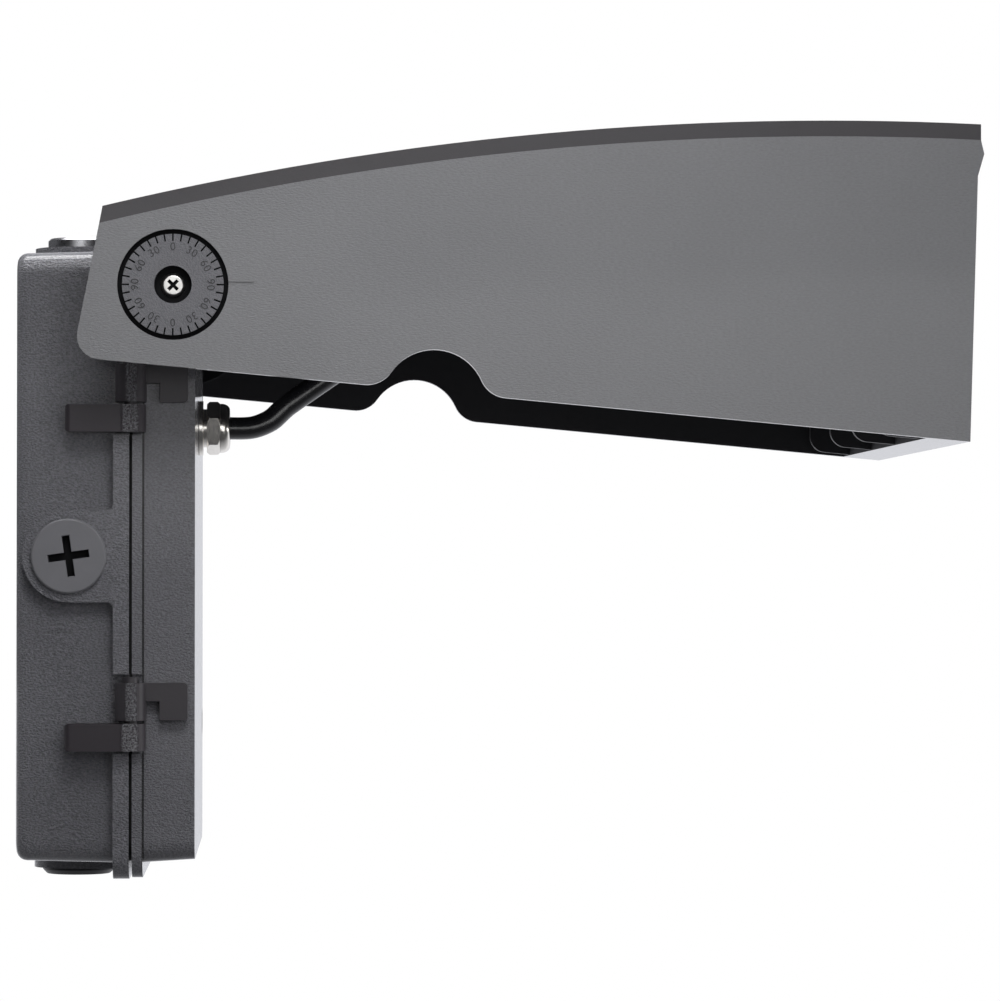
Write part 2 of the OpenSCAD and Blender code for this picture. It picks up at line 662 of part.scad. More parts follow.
// The dial's hub sits in the end of the spigot and holds the screw's head deep in its well
hub_r = 7.3;
hub_l = 3;
dial_well_r = 6.4;
dial_web_t = 0.7;
dial_t = dial_seat - gap - dial_face;
dial_back_y = spigot_end_y;
dial_screw_seat = dial_back_y - hub_l + dial_web_t;
module dial() color(casting) at_pivot() difference() {
    union() {
        rod_y(0, dial_back_y, 0, dial_r, dial_t);
        rod_y(0, dial_back_y - hub_l, 0, hub_r, hub_l + skin);
    }
    for (a = [0:tick_step:359]) rotate([0, a, 0])
        translate([dial_r - tick_l, dial_back_y + dial_t - tick_d, -tick_w / 2])
            cube([tick_l + over, tick_d + over, tick_w]);
    rod_y(0, dial_back_y - hub_l - over, 0, dial_screw_r + slip, dial_t + hub_l + 2 * over);
    rod_y(0, dial_screw_seat, 0, dial_well_r, dial_t + hub_l + over);
}
module far_dial() dial();
module near_dial() mirror([0, 1, 0]) dial();
phillips_w = 1.1;
phillips_l = 4.4;
phillips_d = 1.2;
module dial_screws() color(zinc) mirrored() at_pivot() difference() {
    seat = dial_screw_seat;
    union() {
        rod_y(0, spigot_end_y - dial_screw_l, 0, dial_screw_r, seat - spigot_end_y + dial_screw_l);
        rod_y(0, seat, 0, dial_screw_head_r, dial_screw_head_h / 2);
        translate([0, seat + dial_screw_head_h / 2, 0]) rotate([-90, 0, 0])
            cylinder(r1 = dial_screw_head_r, r2 = dial_screw_head_r - dial_screw_head_h / 2,
                h = dial_screw_head_h / 2);
    }
    for (a = [0, 90]) rotate([0, a + 45, 0])
        translate([-phillips_l / 2, seat + dial_screw_head_h - phillips_d, -phillips_w / 2])
            cube([phillips_l, phillips_d + over, phillips_w]);
}
module pivot_washers() color(zinc) mirrored() at_pivot() difference() {
    rod_y(0, trunnion_end_y, 0, trunnion_r, washer_t);
    rod_y(0, trunnion_end_y - over, 0, spigot_r + slip, washer_t + 2 * over);
}

// The head's outlines are drawn in X and Z from the pivot
function crown(x, drop) = crown_z - crown_r + sqrt(pow(crown_r - drop, 2) - pow(x - crown_x, 2));
function crown_run(x0, x1, drop) =
    [for (i = [0:crown_steps]) let (x = x0 + (x1 - x0) * i / crown_steps) [x, crown(x, drop)]];
rear_top = [-rear_top_x, crown(-rear_top_x, 0)];
rear_low = [-rear_low_x, -rear_low_z];
front_low = [front_low_x, -front_low_z];
lip_drop = 17.9;
lip_rise = 7.5;
lip_low = [front_low_x + front_lean, crown(front_low_x, 0) - lip_drop];
lip_nose = [front_low_x + front_lean + visor_out, lip_low[1] + lip_rise];
lip_top_x = front_low_x + front_lean + visor_out / 2;
low_run = unit(front_low - rear_low);
low_up = [-low_run[1], low_run[0]];
function low_line(t, n) = rear_low + t * low_run + n * low_up;
notch_t = ([notch_x, -notch_z] - rear_low) * low_run;
notch_n = ([notch_x, -notch_z] - rear_low) * low_up;
notch_span = sqrt(pow(notch_r + notch_edge_r, 2) - pow(notch_edge_r - notch_n, 2));
notch_turn = atan2(notch_n - notch_edge_r, notch_span);
low_angle = atan2(low_run[1], low_run[0]);
rear_slope = (rear_top[0] - rear_low[0]) / (rear_top[1] - rear_low[1]);
function rear_x(z) = rear_low[0] + (z - rear_low[1]) * rear_slope;
cover_rear_x = rear_x(crown(-rear_top_x, cover_t));

function cheek_outline() = concat(
    rounded_corner([cover_rear_x, crown(cover_rear_x, cover_t)], rear_low,
        low_line(notch_t - notch_span, 0), rear_corner_r),
    arc(low_line(notch_t - notch_span, notch_edge_r), notch_edge_r, low_angle - 90,
        low_angle + notch_turn),
    arc([notch_x, -notch_z], notch_r, low_angle + 180 + notch_turn, low_angle - notch_turn, 2 * arc_steps),
    arc(low_line(notch_t + notch_span, notch_edge_r), notch_edge_r, low_angle - 180 - notch_turn,
        low_angle - 90),
    [front_low, lip_low, lip_nose],
    crown_run(lip_top_x, cover_rear_x, cover_t));

cover_screw_r = 1.8;
cover_screw_head_r = 3.4;
cover_screw_head_h = 2;
cover_screw_count = 3;
cover_screw_bite = 3.4;
head_seat_gap = 0.03; // room for the arch under a flat screw head
cover_screw_first = 20;
cover_screw_last = 40;
// Places a feature square to the arch, on its rim under the cover, drawn along +Z
function screw_x(i) = cover_screw_first
    + (front_low_x - cover_screw_last - cover_screw_first) * i / (cover_screw_count - 1);
module at_cover_screws() for (i = [0:cover_screw_count - 1]) {
    lean = asin((screw_x(i) - crown_x) / (crown_r - cover_t));
    at_pivot() translate([screw_x(i), cheek_in - ledge_w / 2 - cover_screw_r / 2, crown(screw_x(i), cover_t)])
        rotate([0, lean, 0]) children();
}
sink_tab_t = 3;
sink_screw_r = 1.6;
sink_screw_head_r = 3.2;
sink_screw_head_h = 1.8;
sink_screw_bite = 2.6;
engine_x = front_low_x - frame_d;
fin_end_x = engine_x - sink_base_t - fin_l;
sink_top = crown(fin_end_x, cover_t) - ledge_t - gap;
sink_low_gap = 0.3;
// The lower edges of the ribs and the frame follow the lower edge of the cheeks
low_slope = (front_low_z - rear_low_z) / (front_low_x + rear_low_x);
function low_z(x) = (front_low_x - x) * low_slope - front_low_z;
base_rise = 6;
sink_low = low_z(engine_x) + sink_low_gap + base_rise;
sink_screw_shares = [0.3, 0.75];
module at_sink_screws() at_pivot() for (share = sink_screw_shares)
    translate([fin_end_x + fin_l / 2, cheek_in, sink_low + (sink_top - sink_low) * share]) children();

// The far cheek; the near one is its mirror image
module cheek() color(casting) difference() {
    union() {
        at_pivot() plate_y(cheek_in, cheek_t) polygon(cheek_outline());
        at_pivot() rod_y(0, cheek_in - pad_t, 0, pad_r, pad_t + skin);
        at_pivot() plate_y(cheek_in - ledge_w, ledge_w) polygon(concat(
            crown_run(cover_rear_x + ledge_t, engine_x - gap, cover_t),
            crown_run(engine_x - gap, cover_rear_x + ledge_t, cover_t + ledge_t)));
    }
    at_pivot() rod_y(0, head_w / 2 - dial_seat, 0, dial_r + dial_gap, dial_seat + over);
    at_pivot() rod_y(0, cheek_in - pad_t - over, 0, spigot_r + slip, pad_t + cheek_t + 2 * over);
    at_pivot() translate([dial_r + dial_gap - skin, head_w / 2 - pointer_d, -pointer_w / 2])
        cube([pointer_l, pointer_d + over, pointer_w]);
    at_cover_screws() translate([0, 0, -ledge_t - over])
        cylinder(r = cover_screw_r + slip, h = ledge_t + 2 * over);
    at_sink_screws() rod_y(0, -over, 0, sink_screw_r, sink_screw_bite + over);
}
pointer_d = 0.6;
module far_cheek() cheek();
module near_cheek() mirror([0, 1, 0]) cheek();

clip_w = 8;
clip_t = 1.6;
clip_gap = 0.5;
clip_r = cord_d / 2 + clip_gap;
clip_foot_l = 10;
clip_screw_r = 1.5;
module top_cover() color(casting_dark) difference() {
    at_pivot() plate_y(-head_w / 2, head_w) polygon(concat(
        crown_run(-rear_top_x, lip_top_x, 0),
        crown_run(lip_top_x, cover_rear_x, cover_t)));
    mirrored() at_cover_screws() translate([0, 0, -over])
        cylinder(r = cover_screw_r, h = cover_screw_bite + over);
}
module cover_screws() color(zinc) mirrored() at_cover_screws() {
    translate([0, 0, -ledge_t - head_seat_gap])
        cylinder(r = cover_screw_r, h = ledge_t + cover_screw_bite + head_seat_gap);
    translate([0, 0, -ledge_t - cover_screw_head_h - head_seat_gap])
        cylinder(r = cover_screw_head_r, h = cover_screw_head_h);
}

// A strap round the cord, hung from a foot on the underside of the cover
module cord_clip() color(black) {
    roof = pivot_z + crown(cord_clip_x - clip_w / 2 - pivot_x, cover_t);
    translate([cord_clip_x - clip_w / 2, cord_exit_y, cord_clip_z]) difference() {
        union() {
            rod_x(0, 0, 0, clip_r + clip_t, clip_w);
            cube([clip_w, clip_r + clip_t, roof - cord_clip_z]);
            translate([0, 0, roof - cord_clip_z - clip_t])
                cube([clip_w, clip_r + clip_t + clip_foot_l, clip_t]);
        }
        rod_x(-over, 0, 0, clip_r, clip_w + 2 * over);
    }
}

fin_count = 3;
fine_low = 13;
grommet_r = 6.4;
grommet_lip_r = 8.4;
grommet_lip_t = 1.6;
function fin_low(x, rise) = low_z(x) + sink_low_gap + rise;
function fin_outline(rise, corner) = concat(
    [[engine_x, sink_top], [fin_end_x, sink_top]],
    rounded_corner([fin_end_x, sink_top], [fin_end_x, fin_low(fin_end_x, rise)],
        [engine_x, fin_low(engine_x, rise)], corner),
    [[engine_x, fin_low(engine_x, rise)]]);
board_t = 1.6;
board_inset = 3;
board_margin = 4;
board_w = window_w - 2 * board_margin;
board_h = window_h - 2 * board_margin;
window_shift = 0.7;
window_z = (crown(engine_x, cover_t) - front_low_z) / 2 - window_shift;
module heat_sink() color(casting_dark) difference() {
    union() {
        at_pivot() plate_y(-cheek_in, 2 * cheek_in) polygon([
            [engine_x - sink_base_t, sink_low], [engine_x, sink_low], [engine_x, sink_top],
            [engine_x - sink_base_t, sink_top]]);
        at_pivot() for (i = [0:rib_count - 1]) {
            rib_y = (i - (rib_count - 1) / 2) * rib_pitch;
            plate_y(rib_y - rib_t / 2, rib_t) polygon(fin_outline(0, rib_corner_r));
            if (i < rib_count - 1) for (k = [1:fin_count])
                plate_y(rib_y + k * rib_pitch / (fin_count + 1) - fin_t / 2, fin_t)
                    polygon(fin_outline(fine_low, fin_t));
        }
        mirrored() at_pivot() plate_y(cheek_in - sink_tab_t, sink_tab_t)
            polygon(fin_outline(fine_low, rib_corner_r / 2));
    }
    at_pivot() translate([engine_x - board_inset, -board_w / 2 - gap, window_z - board_h / 2 - gap])
        cube([board_inset + over, board_w + 2 * gap, board_h + 2 * gap]);
    translate([0, cord_exit_y, cord_exit_z]) {
        rod_x(pivot_x + fin_end_x - over, 0, 0, grommet_lip_r + gap, fin_l + over);
        rod_x(pivot_x + fin_end_x, 0, 0, grommet_r, fin_l + sink_base_t + over);
    }
    mirrored() at_sink_screws() rod_y(0, -sink_tab_t - over, 0, sink_screw_r + slip, sink_tab_t + 2 * over);
    at_frame_screws() rod_x(-frame_screw_bite, 0, 0, frame_screw_r, frame_screw_bite + over);
}
module sink_screws() color(zinc) mirrored() at_sink_screws() {
    rod_y(0, -sink_tab_t, 0, sink_screw_r, sink_tab_t + sink_screw_bite);
    rod_y(0, -sink_tab_t - sink_screw_head_h, 0, sink_screw_head_r, sink_screw_head_h);
}
module cord_grommet() color(black) translate([pivot_x + engine_x - sink_base_t, cord_exit_y, cord_exit_z])
    difference() {
        union() {
            rod_x(-grommet_lip_t, 0, 0, grommet_lip_r, grommet_lip_t);
            rod_x(-skin, 0, 0, grommet_r - slip, sink_base_t - board_inset + skin);
        }
        rod_x(-grommet_lip_t - over, 0, 0, cord_d / 2 + gap, grommet_lip_t + sink_base_t + 2 * over);
    }

board_x = engine_x - board_inset;
optic_x = board_x + board_t;
optic_t = 1.5;
lens_front = 2.6;
lens_gasket_t = 0.6;
lens_margin = 4;
lens_x = front_low_x - lens_front - lens_gasket_t - lens_t;
dome_h = 3;
module led_board() color([0.93, 0.93, 0.9]) at_pivot()
    translate([board_x, -board_w / 2, window_z - board_h / 2]) cube([board_t, board_w, board_h]);
dome_steps = 4;
// Each dome is a cap of a sphere that stands dome_h high and dome_r wide
ball_r = (dome_r * dome_r + dome_h * dome_h) / (2 * dome_h);
module dome() rotate([0, 90, 0]) rotate_extrude() polygon(concat([[0, -skin], [dome_r, -skin]],
    [for (i = [0:dome_steps - 1]) let (a = asin(dome_r / ball_r) * (1 - i / dome_steps))
        [ball_r * sin(a), dome_h - ball_r + ball_r * cos(a)]], [[0, dome_h]]));
module optic_plate() color([0.95, 0.95, 0.97]) at_pivot() {
    translate([optic_x, -board_w / 2, window_z - board_h / 2]) cube([optic_t, board_w, board_h]);
    for (i = [0:led_columns - 1], k = [0:led_rows - 1])
        translate([optic_x + optic_t, ((i + 0.5) / led_columns - 0.5) * board_w,
            window_z + ((k + 0.5) / led_rows - 0.5) * board_h]) dome();
}
module lens_gasket() color(black) at_pivot() plate_x(lens_x + lens_t, lens_gasket_t) translate([0, window_z])
    difference() {
        square([window_w + 2 * lens_margin - 2 * gap, window_h + 2 * lens_margin - 2 * gap], center = true);
        square([window_w + lens_margin, window_h + lens_margin], center = true);
    }
module lens() color([0.85, 0.9, 0.92, 0.35]) at_pivot() plate_x(lens_x, lens_t) translate([0, window_z])
    square([window_w + 2 * lens_margin - 2 * gap, window_h + 2 * lens_margin - 2 * gap], center = true);

frame_gap = 0.2;
frame_top = crown(lip_top_x, cover_t) - frame_gap;
frame_screw_r = 1.8;
frame_screw_head_r = 3.4;
frame_screw_head_h = 2;
frame_screw_seat = 8;
frame_screw_bite = 4;
frame_screw_edge = 7;
module at_frame_screws() mirrored() at_pivot() for (s = [-1, 0, 1])
    translate([engine_x, cheek_in - frame_screw_edge, window_z + s * (window_h / 2)]) children();
module front_frame() color(casting) difference() {
    at_pivot() plate_y(-cheek_in, 2 * cheek_in) polygon([
        [engine_x, low_z(engine_x)], front_low, lip_low, lip_nose, [lip_top_x, frame_top],
        [engine_x, frame_top]]);
    at_pivot() plate_x(engine_x - over, frame_d + front_lean + visor_out + 2 * over) translate([0, window_z])
        square([window_w, window_h], center = true);
    at_pivot() plate_x(engine_x - over, lens_x + lens_t + lens_gasket_t - engine_x + over)
        translate([0, window_z])
            square([window_w + 2 * lens_margin, window_h + 2 * lens_margin], center = true);
    at_frame_screws() {
        rod_x(-over, 0, 0, frame_screw_r + slip, frame_d + 3 * over);
        rod_x(frame_screw_seat, 0, 0, frame_screw_head_r + gap, frame_d + front_lean + visor_out);
    }
}
module frame_screws() color(zinc) at_frame_screws() {
    rod_x(-frame_screw_bite, 0, 0, frame_screw_r, frame_screw_bite + frame_screw_seat);
    rod_x(frame_screw_seat, 0, 0, frame_screw_head_r, frame_screw_head_h);
}

rear_housing();
mouth_gasket();
hinge_lugs();
hinge_pins();
side_plugs();
top_plug();
bottom_plug();
terminal_block();
ground_screw();
door();
hinge_leaves();
door_screws();
gland_body();
gland_locknut();
gland_seal();
gland_nut();
power_cord();
led_driver();
driver_screws();
near_dial();
far_dial();
dial_screws();
pivot_washers();
near_cheek();
far_cheek();
top_cover();
cover_screws();
cord_clip();
heat_sink();
sink_screws();
cord_grommet();
led_board();
optic_plate();
lens_gasket();
lens();
front_frame();
frame_screws();
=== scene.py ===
"""Looks of the wall pack light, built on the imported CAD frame. All lengths are in metres."""
import json
import math

import bmesh
import bpy
from mathutils import Matrix, Vector


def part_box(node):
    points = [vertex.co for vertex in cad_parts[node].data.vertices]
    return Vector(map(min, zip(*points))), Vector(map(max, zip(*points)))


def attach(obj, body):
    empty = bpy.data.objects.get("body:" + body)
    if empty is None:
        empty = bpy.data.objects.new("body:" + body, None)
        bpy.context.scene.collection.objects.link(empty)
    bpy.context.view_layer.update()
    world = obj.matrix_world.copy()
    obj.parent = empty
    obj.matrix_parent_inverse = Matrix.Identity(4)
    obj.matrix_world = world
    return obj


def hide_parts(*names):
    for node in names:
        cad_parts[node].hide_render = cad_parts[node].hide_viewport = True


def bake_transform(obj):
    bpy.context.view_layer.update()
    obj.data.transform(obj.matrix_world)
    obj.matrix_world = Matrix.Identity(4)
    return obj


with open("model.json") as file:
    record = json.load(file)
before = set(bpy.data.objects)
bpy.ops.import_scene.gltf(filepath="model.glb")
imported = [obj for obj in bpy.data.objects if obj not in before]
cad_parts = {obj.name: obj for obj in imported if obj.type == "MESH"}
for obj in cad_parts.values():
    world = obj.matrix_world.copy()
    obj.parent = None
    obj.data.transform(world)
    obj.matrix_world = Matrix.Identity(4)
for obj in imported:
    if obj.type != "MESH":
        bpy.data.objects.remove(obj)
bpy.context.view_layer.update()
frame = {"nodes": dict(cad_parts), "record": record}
scene = bpy.context.scene
scene.view_settings.view_transform = "Standard"
MM = 0.001

# ---------------------------------------------------------------- camera and cord
PIVOT = Vector((55.4, 0, 92.2)) * MM
GLAND = Vector((62.2, 0, 47.3)) * MM
CAMERA_AT = Vector((92.9, -1616, -9.1)) * MM
CAMERA_TO = Vector((166.8, -116, 18.8)) * MM
FOCAL_PIXELS = 4405
FRAME_PIXELS = 1001
SENSOR = 36

camera = bpy.data.objects.new("camera", bpy.data.cameras.new("camera"))
scene.collection.objects.link(camera)
camera.location = CAMERA_AT
camera.rotation_euler = (CAMERA_TO - CAMERA_AT).to_track_quat("-Z", "Y").to_euler()
camera.data.sensor_width = SENSOR
camera.data.lens = SENSOR * FOCAL_PIXELS / FRAME_PIXELS
camera.data.clip_start = 0.01
camera.data.clip_end = 20
scene.camera = camera

# The cord's route in mm, the same points as in the part's source
CORD_FROM_GLAND = [(-12, 0, 0), (-6, 0, 0), (0, 0, 0), (6, 0, 0), (11.5, 0, 0), (16.2, 0, 0),
                   (19.9, 0, 0.4), (23.5, 0, 1.6), (26.8, 0, 3.4), (29.6, 0, 6), (31.1, 0, 7.4),
                   (32.8, 0, 8.8), (41, 0, 14.6)]
CORD_FROM_PIVOT = [(57.2, 0, -23.8), (66.6, 0, -17.4), (79.6, 3, -8.2), (94.6, 9, 2.8),
                   (109.6, 16, 13.8), (124.6, 21, 24.3), (139.6, 23.2, 32.3), (154.6, 23.6, 37.3),
                   (169.6, 23.6, 39.4), (189.6, 23.6, 39.8), (207.6, 23.6, 38.3),
                   (223.6, 23.6, 35.4), (238.6, 23.6, 33), (247.6, 23.6, 32.8),
                   (254.8, 23.6, 32.8)]
CORD_D = 8.2 * MM
# Parts that the path has between two points of the route, and sides of the tube
CORD_STEPS = 4
CORD_SIDES = 20


# ---------------------------------------------------------------- materials
# The range that most of a noise texture's values lie in
NOISE_LOW, NOISE_HIGH = 0.3, 0.7
# The soft change of tone in the paint, in features per metre, and the gloss of its skin
TONE_SCALE = 28
COAT_ROUGHNESS, COAT_IOR = 0.1, 1.25


def add(tree, kind, inputs=None, links=None, **settings):
    """A new shader node with its settings, the values of its inputs and what is linked to them."""
    node = tree.nodes.new("ShaderNode" + kind)
    for name, value in settings.items():
        setattr(node, name, value)
    for name, value in (inputs or {}).items():
        node.inputs[name].default_value = value
    for name, source in (links or {}).items():
        tree.links.new(source, node.inputs[name])
    return node


def new_material(name):
    """A material with an empty node tree but for a Principled shader and its output."""
    material = bpy.data.materials.new(name)
    material.use_nodes = True
    shader = material.node_tree.nodes["Principled BSDF"]
    return material, material.node_tree, shader


def noise(tree, scale, detail=4, roughness=0.55, stretch=None):
    """Noise over the object's own coordinates. Its scale is in features per metre."""
    source = add(tree, "TexCoord").outputs["Object"]
    if stretch:
        source = add(tree, "Mapping", {"Scale": stretch}, {"Vector": source}).outputs["Vector"]
    texture = add(tree, "TexNoise", {"Scale": scale, "Detail": detail, "Roughness": roughness},
                  {"Vector": source})
    return texture.outputs["Fac"]


def ramp(tree, value, low, high, colours):
    """Maps a value between low and high to a run from one colour to another."""
    node = add(tree, "ValToRGB", links={"Fac": value})
    for element, position, colour in zip(node.color_ramp.elements, (low, high), colours):
        element.position = position
        element.color = (*colour, 1)
    return node.outputs["Color"]


def shade(colour, factor):
    return tuple(c * factor for c in colour)


def mottled(tree, value, colour, variation):
    """The colour, a share darker where the noise is low and as much lighter where it is high."""
    return ramp(tree, value, NOISE_LOW, NOISE_HIGH,
                [shade(colour, 1 - variation), shade(colour, 1 + variation)])


def map_range(tree, value, source, target=(0, 1)):
    """Maps one range of a value to another, and holds it at the ends."""
    node = add(tree, "MapRange", {"From Min": source[0], "From Max": source[1],
                                  "To Min": target[0], "To Max": target[1]}, {"Value": value})
    return node.outputs["Result"]


def spread(tree, value, low, high):
    """Maps noise to a plain range."""
    return map_range(tree, value, (NOISE_LOW, NOISE_HIGH), (low, high))


def bump(tree, shader, height, depth, below=None):
    """Relief in the surface, on top of the relief below where there is one."""
    links = {"Height": height}
    if below:
        links["Normal"] = below
    normal = add(tree, "Bump", {"Strength": 1, "Distance": depth}, links).outputs["Normal"]
    tree.links.new(normal, shader.inputs["Normal"])
    return normal


def line_along_x(tree, at, half):
    """One at the given X, down to nothing a little over half a width away from it."""
    split = add(tree, "SeparateXYZ", links={0: add(tree, "TexCoord").outputs["Object"]})
    away = add(tree, "Math", {1: at}, {0: split.outputs["X"]}, operation="SUBTRACT")
    distance = add(tree, "Math", links={0: away.outputs[0]}, operation="ABSOLUTE")
    return map_range(tree, distance.outputs[0], (half * 1.25, half * 0.8))


def powder_coat(name, colour, grain=900, depth=0.00012, variation=0.1, rough=(0.5, 0.62),
                stretch=None, specular=0.4, sheen=1.0, speckle=0.5, corner_shade=None):
    """Textured paint on a casting: a fine grain in the surface, with a soft change of tone.
    Speckle is the share of the grain in the tone. The last argument gives the X of a corner, and
    half the width of a dark line of painted shade that lies in it."""
    material, tree, shader = new_material(name)
    fine = noise(tree, grain, 3, 0.6, stretch)
    tone = add(tree, "Mix", {"Factor": speckle}, {"A": noise(tree, TONE_SCALE, 3), "B": fine})
    paint_colour = mottled(tree, tone.outputs["Result"], colour, variation)
    # Painted shade: a dark line along the corner
    if corner_shade:
        darken = add(tree, "Mix", {"B": (*shade(colour, 0.1), 1)},
                     {"Factor": line_along_x(tree, *corner_shade), "A": paint_colour},
                     data_type="RGBA")
        paint_colour = darken.outputs["Result"]
    tree.links.new(paint_colour, shader.inputs["Base Color"])
    tree.links.new(spread(tree, fine, *rough), shader.inputs["Roughness"])
    shader.inputs["Specular IOR Level"].default_value = specular
    shader.inputs["Coat Weight"].default_value = sheen
    shader.inputs["Coat Roughness"].default_value = COAT_ROUGHNESS
    shader.inputs["Coat IOR"].default_value = COAT_IOR
    bump(tree, shader, fine, depth)
    return material


def metal(name, colour, roughness, depth=0.00003, variation=0.06):
    """Plated or bare metal with fine scratches and a slightly uneven tone."""
    material, tree, shader = new_material(name)
    tree.links.new(mottled(tree, noise(tree, 160), colour, variation),
                   shader.inputs["Base Color"])
    shader.inputs["Metallic"].default_value = 1
    fine = noise(tree, 1500)
    tree.links.new(spread(tree, fine, roughness * 0.8, roughness * 1.25),
                   shader.inputs["Roughness"])
    bump(tree, shader, fine, depth)
    return material


def moulded(name, colour, rough, grain=1400, depth=0.00003, specular=0.5):
    """Moulded plastic or rubber, or smooth paint, with a faint grain."""
    material, tree, shader = new_material(name)
    tree.links.new(mottled(tree, noise(tree, 60, 3), colour, 0.06), shader.inputs["Base Color"])
    fine = noise(tree, grain, 3)
    tree.links.new(spread(tree, fine, *rough), shader.inputs["Roughness"])
    shader.inputs["Specular IOR Level"].default_value = specular
    bump(tree, shader, fine, depth)
    return material


def hinge_moulding(name, colour, seam_highlight_colour, seam_x, seam_half):
    """Smooth dark moulding with a rough seam down the line of the pin, its pale colour a painted
    highlight on the barrel.
    """
    material, tree, shader = new_material(name)
    crumbs = spread(tree, noise(tree, 1500, 3, 0.7), 0, 1)
    seam = add(tree, "Math", links={0: line_along_x(tree, seam_x, seam_half), 1: crumbs},
               operation="MULTIPLY").outputs[0]
    # The seam's pale colour is a painted highlight
    tree.links.new(ramp(tree, seam, 0.2, 0.9, [colour, seam_highlight_colour]),
                   shader.inputs["Base Color"])
    shader.inputs["Roughness"].default_value = 0.42
    shader.inputs["Specular IOR Level"].default_value = 0.35
    low = bump(tree, shader, noise(tree, 900, 3), 0.00004)
    bump(tree, shader, seam, 0.0005, below=low)
    return material


def clear(name, roughness, tint):
    """Clear glass or plastic with a faint unevenness in its gloss."""
    material, tree, shader = new_material(name)
    tree.links.new(ramp(tree, noise(tree, 40, 2), NOISE_LOW, NOISE_HIGH,
                        [shade(tint, 0.98), tint]), shader.inputs["Base Color"])
    tree.links.new(spread(tree, noise(tree, 900, 3), roughness * 0.7, roughness * 1.3),
                   shader.inputs["Roughness"])
    shader.inputs["Transmission Weight"].default_value = 1
    shader.inputs["IOR"].default_value = 1.5
    return material


BOX_GREY = (0.168, 0.168, 0.185)
CHEEK_GREY = (0.185, 0.187, 0.197)
HINGE_X = 40 * MM
# Corner between the door's lip and its body, where the door's paint has a dark line of painted
# shade
DOOR_CORNER_X = 44.3 * MM
MATERIALS = {
    # The box has the door's paint, painted a quarter lighter to make up for the weaker light on it
    "box": powder_coat("box_paint", shade(BOX_GREY, 1.25), grain=1700, depth=0.0016,
                       variation=0.4, rough=(0.32, 0.5), stretch=(0.6, 1, 1), speckle=0.8),
    "door": powder_coat("door_paint", BOX_GREY, grain=1700, depth=0.0009, variation=0.3,
                        rough=(0.32, 0.5), stretch=(0.6, 1, 1), speckle=0.8,
                        corner_shade=(DOOR_CORNER_X, 0.3 * MM)),
    "cheek": powder_coat("cheek_paint", CHEEK_GREY, grain=2000, depth=0.00025, variation=0.1,
                         rough=(0.36, 0.42), stretch=(0.35, 1, 1), speckle=0.85),
    "cover": powder_coat("cover_paint", (0.048, 0.045, 0.05), grain=1300, depth=0.00005,
                         variation=0.06),
    # Painted shade: near black for the faces inside the head and the front frame's faces toward the
    # back
    "inside": powder_coat("inside_painted_shade", (0.022, 0.022, 0.026), grain=1300, depth=0.00005,
                          variation=0.08, specular=0.25, sheen=0.15),
    "sink": powder_coat("sink_paint", (0.020, 0.020, 0.024), grain=1100, depth=0.00008,
                        variation=0.08, specular=0.25, sheen=0.12),
    "frame": powder_coat("frame_paint", CHEEK_GREY, grain=1400, depth=0.00005, variation=0.04),
    # The pale seam colours are painted highlight on the barrels
    "hinge": hinge_moulding("hinge_plastic", (0.036, 0.031, 0.037), (0.34, 0.34, 0.36),
                            HINGE_X, 2.75 * MM),
    # The leaves' moulding is a copy of the lugs', painted lighter against the shade that the head
    # casts on them
    "hinge_leaf": hinge_moulding("hinge_leaf_plastic", (0.048, 0.044, 0.05),
                                 (0.26, 0.26, 0.28), HINGE_X + 0.4 * MM, 1.9 * MM),
    "pin": moulded("hinge_pin_paint", (0.040, 0.036, 0.042), (0.38, 0.48), grain=900,
                   depth=0.00004),
    "plug": moulded("plug_paint", (0.165, 0.165, 0.18), (0.4, 0.5), grain=900),
    "black": moulded("black_plastic", (0.012, 0.012, 0.014), (0.3, 0.45)),
    "cord": moulded("cord_jacket", (0.010, 0.010, 0.012), (0.2, 0.28), grain=700,
                    specular=1.0),
    "rubber": moulded("black_rubber", (0.012, 0.012, 0.012), (0.6, 0.75)),
    "dial": powder_coat("dial_paint", (0.145, 0.145, 0.16), grain=1700, depth=0.0004,
                        variation=0.14, speckle=0.8),
    # Painted shade: the darkest, for grooves, wells and recesses
    "pit": moulded("recess_painted_shade", (0.006, 0.006, 0.007), (0.6, 0.7), specular=0.1),
    # Painted shade: the raised numbers coloured dark, for the shade on their sides
    "number_shade": moulded("dial_number_painted_shade", (0.034, 0.034, 0.038), (0.5, 0.6)),
    "zinc": metal("zinc_plate", (0.62, 0.62, 0.63), 0.28),
    "plug_metal": metal("plug_metal", (0.45, 0.45, 0.47), 0.3),
    "steel": metal("bright_steel", (0.66, 0.65, 0.63), 0.34),
    "nickel": metal("nickel_plate", (0.90, 0.87, 0.82), 0.2, depth=0.000003, variation=0.03),
    "case": metal("driver_case", (0.62, 0.63, 0.65), 0.38),
    "terminal": moulded("terminal_plastic", (0.72, 0.70, 0.64), (0.4, 0.5)),
    "green": moulded("green_screw", (0.04, 0.20, 0.07), (0.3, 0.4)),
    "board": moulded("board_mask", (0.82, 0.82, 0.79), (0.35, 0.45)),
    "optics": clear("optic_plastic", 0.06, (0.95, 0.96, 0.97)),
    "lens": clear("lens_glass", 0.03, (0.96, 0.98, 0.97)),
}


# ---------------------------------------------------------------- pieces
# Edges sharper than this many degrees stay edges in the shading, and are rounded
EDGE_ANGLE = 32
EDGE_SEGMENTS = 3
# Only the rims at the cord's two ends are sharper than this
CORD_EDGE_ANGLE = 50
# Points closer than this in metres are one, and faces within this many degrees are one
WELD = 2e-6
FLAT_ANGLE = 0.05


def set_material(piece, material):
    piece.data.materials.clear()
    piece.data.materials.append(MATERIALS[material])


